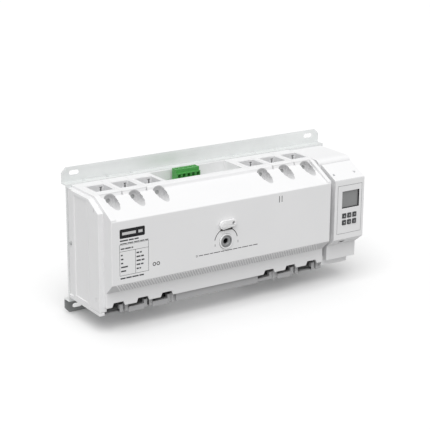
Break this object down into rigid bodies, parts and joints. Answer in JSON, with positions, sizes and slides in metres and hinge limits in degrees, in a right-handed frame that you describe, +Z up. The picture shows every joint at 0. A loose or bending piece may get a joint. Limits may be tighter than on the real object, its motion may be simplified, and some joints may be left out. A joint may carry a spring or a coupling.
{
  "type": "automatic transfer switch",
  "caption": "Panel-mounted motor-driven changeover switch: two banks of poles under one white cover, green control plug, crank socket, and a controller with screen and keys.",
  "frame": {"origin": "on the panel, at the middle of the lower fixing flange's back face", "axes": "+X to the right seen from the front, +Y into the panel, +Z up"},
  "size_m": [0.347, 0.1035, 0.1668],
  "materials": {
    "zinc_steel": "zinc-plated sheet, satin",
    "white_plastic": "fine-textured moulded thermoplastic",
    "green_plastic": "moulded polyamide",
    "grey_plastic": "moulded",
    "black_plastic": "moulded",
    "screen_glass": "clear window",
    "circuit_board": "lacquered laminate",
    "steel": "bright zinc",
    "copper": "bare copper",
    "brass": "machined"
  },
  "bodies": {
    "switch": {"mounting_plate": "zinc_steel", "base_housing": "white_plastic", "front_cover": "white_plastic", "controller_base": "white_plastic", "controller_cover": "white_plastic", "screen_window": "screen_glass", "screen_module": "steel", "controller_board": "circuit_board", "controller_screw_left": "steel", "controller_screw_right": "steel", "plug_header": "green_plastic", "header_board": "circuit_board", "socket_bezel": "grey_plastic", "rack_guide": "steel", "drive_motor": "steel", "gear_plate": "zinc_steel", "shaft_bearing_left": "grey_plastic", "shaft_bearing_right": "grey_plastic", "upper_terminal_I_1": "copper", "upper_terminal_I_2": "copper", "upper_terminal_I_3": "copper", "upper_terminal_II_1": "copper", "upper_terminal_II_2": "copper", "upper_terminal_II_3": "copper", "lower_terminal_I_1": "copper", "lower_terminal_I_2": "copper", "lower_terminal_I_3": "copper", "lower_terminal_II_1": "copper", "lower_terminal_II_2": "copper", "lower_terminal_II_3": "copper", "wire_clamp_I_1": "steel", "wire_clamp_I_2": "steel", "wire_clamp_I_3": "steel", "wire_clamp_II_1": "steel", "wire_clamp_II_2": "steel", "wire_clamp_II_3": "steel"},
    "shaft": {"contact_shaft": "steel", "rotor_I": "black_plastic", "rotor_II": "black_plastic", "shaft_gear": "brass", "blade_I_1": "copper", "blade_I_2": "copper", "blade_I_3": "copper", "blade_II_1": "copper", "blade_II_2": "copper", "blade_II_3": "copper"},
    "spindle": {"drive_spindle": "black_plastic", "spindle_pinion": "brass", "spindle_gear": "brass"},
    "rack": {"transfer_rack": "grey_plastic"},
    "motor_output": {"motor_pinion": "brass"},
    "selector": {"selector_lever": "white_plastic"},
    "plug": {"terminal_plug": "green_plastic"},
    "key_1": {"key_1": "grey_plastic"},
    "key_2": {"key_2": "grey_plastic"},
    "key_3": {"key_3": "grey_plastic"},
    "key_4": {"key_4": "grey_plastic"},
    "key_5": {"key_5": "grey_plastic"},
    "key_6": {"key_6": "grey_plastic"}
  },
  "joints": [
    {"name": "shaft_turn", "type": "hinge", "parent": "switch", "child": "shaft", "pos_m": [-0.0203, -0.0455, 0.0789], "axis": [-1, 0, 0], "range_deg": [-45, 45]},
    {"name": "spindle_turn", "type": "hinge", "parent": "switch", "child": "spindle", "pos_m": [-0.0248, -0.0975, 0.0789], "axis": [0, -1, 0], "range_deg": [-90, 90]},
    {"name": "rack_slide", "type": "slide", "parent": "switch", "child": "rack", "axis": [0, 0, 1], "range_m": [-0.01571, 0.01571]},
    {"name": "motor_turn", "type": "hinge", "parent": "switch", "child": "motor_output", "pos_m": [-0.03855, -0.0765, 0.05508], "axis": [0, -1, 0], "range_deg": [-240, 240]},
    {"name": "selector_turn", "type": "hinge", "parent": "switch", "child": "selector", "pos_m": [-0.0295, -0.0995, 0.0985], "axis": [0, -1, 0], "range_deg": [0, 50]},
    {"name": "plug_pull", "type": "slide", "parent": "switch", "child": "plug", "axis": [0, 0, 1], "range_m": [0, 0.028]},
    {"name": "key_1_press", "type": "slide", "parent": "switch", "child": "key_1", "axis": [0, 1, 0], "range_m": [0, 0.0008], "stiffness_N_per_m": 400, "springref_m": -0.0004},
    {"name": "key_2_press", "type": "slide", "parent": "switch", "child": "key_2", "axis": [0, 1, 0], "range_m": [0, 0.0008], "stiffness_N_per_m": 400, "springref_m": -0.0004},
    {"name": "key_3_press", "type": "slide", "parent": "switch", "child": "key_3", "axis": [0, 1, 0], "range_m": [0, 0.0008], "stiffness_N_per_m": 400, "springref_m": -0.0004},
    {"name": "key_4_press", "type": "slide", "parent": "switch", "child": "key_4", "axis": [0, 1, 0], "range_m": [0, 0.0008], "stiffness_N_per_m": 400, "springref_m": -0.0004},
    {"name": "key_5_press", "type": "slide", "parent": "switch", "child": "key_5", "axis": [0, 1, 0], "range_m": [0, 0.0008], "stiffness_N_per_m": 400, "springref_m": -0.0004},
    {"name": "key_6_press", "type": "slide", "parent": "switch", "child": "key_6", "axis": [0, 1, 0], "range_m": [0, 0.0008], "stiffness_N_per_m": 400, "springref_m": -0.0004}
  ],
  "couplings": [
    {"joint": "spindle_turn", "follows": "shaft_turn", "ratio": 2},
    {"joint": "rack_slide", "follows": "shaft_turn", "m_per_rad": 0.02},
    {"joint": "motor_turn", "follows": "shaft_turn", "ratio": -5.3333}
  ]
}
